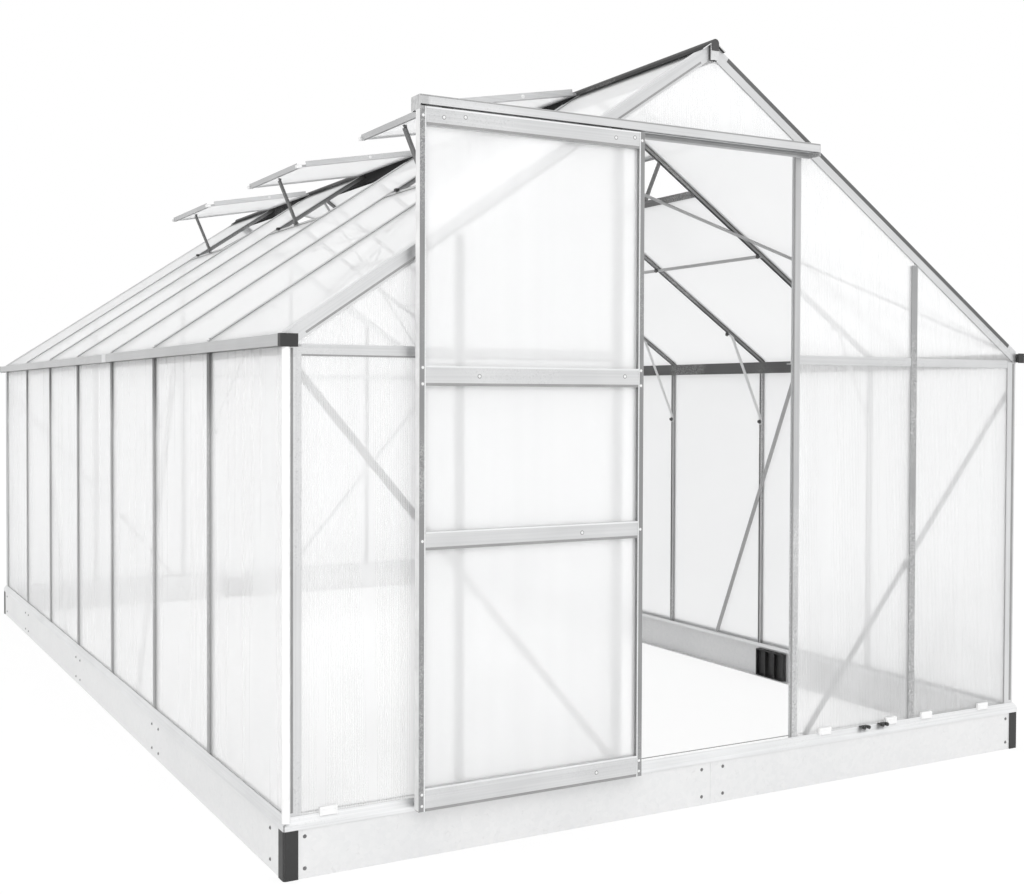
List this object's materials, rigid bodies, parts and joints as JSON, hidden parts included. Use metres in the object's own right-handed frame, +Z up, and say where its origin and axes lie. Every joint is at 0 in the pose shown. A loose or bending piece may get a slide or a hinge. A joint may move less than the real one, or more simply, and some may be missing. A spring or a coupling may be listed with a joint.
{
  "type": "polycarbonate greenhouse",
  "caption": "Walk-in garden greenhouse of aluminium glazing bars and twin-wall sheets on a steel base, with a sliding door and propped roof vents.",
  "frame": {"origin": "on the floor, under the centre of the whole object's bounding box", "axes": "+Z up, front gable with the sliding door faces -Y, +Y runs back along the ridge, +X to the right seen from the front"},
  "size_m": [2.532, 4.399, 2.1376],
  "materials": {
    "frame_aluminium": "mill-finish extruded aluminium, satin",
    "sill_aluminium": "bright extruded aluminium",
    "door_aluminium": "extruded aluminium, satin, with drawn lines",
    "galvanised_steel": "galvanised sheet with a faint spangle",
    "brace_strip": "galvanised strip, dull",
    "black_plastic": "moulded plastic, matt",
    "ridge_cover": "dark extruded cover, semi-matt",
    "white_plastic": "white pipe, semi-gloss",
    "roller_nylon": "nylon rollers, matt",
    "twin_wall_sheet": "translucent twin-wall polycarbonate"
  },
  "bodies": {
    "house": {"base_front": "galvanised_steel", "base_back": "galvanised_steel", "base_left": "galvanised_steel", "base_right": "galvanised_steel", "base_corners": "black_plastic", "base_joiners": "black_plastic", "front_sill": "sill_aluminium", "back_sill": "sill_aluminium", "side_sills": "sill_aluminium", "corner_posts": "frame_aluminium", "left_posts": "frame_aluminium", "right_posts": "frame_aluminium", "gable_posts": "frame_aluminium", "door_jambs": "frame_aluminium", "gable_rails": "frame_aluminium", "left_gutter": "frame_aluminium", "right_gutter": "frame_aluminium", "gutter_caps": "black_plastic", "downpipe": "white_plastic", "ridge_bar": "frame_aluminium", "ridge_cover": "ridge_cover", "gable_rafters": "frame_aluminium", "left_rafters": "frame_aluminium", "right_rafters": "frame_aluminium", "roof_purlins": "brace_strip", "wind_braces": "brace_strip", "gable_braces": "brace_strip", "knee_braces": "brace_strip", "left_wall_sheets": "twin_wall_sheet", "right_wall_sheets": "twin_wall_sheet", "front_gable_sheets": "twin_wall_sheet", "back_gable_sheets": "twin_wall_sheet", "left_roof_sheets": "twin_wall_sheet", "right_roof_sheets": "twin_wall_sheet", "vent_frames": "frame_aluminium", "vent_sheets": "twin_wall_sheet", "vent_stays": "brace_strip", "vent_sills": "frame_aluminium", "door_track": "door_aluminium", "door_stops": "black_plastic"},
    "door": {"door_stiles": "door_aluminium", "door_rails": "door_aluminium", "door_sheets": "twin_wall_sheet", "door_rollers": "roller_nylon"}
  },
  "joints": [
    {"name": "door_slide", "type": "slide", "parent": "house", "child": "door", "axis": [1, 0, 0], "range_m": [0, 0.591]}
  ]
}
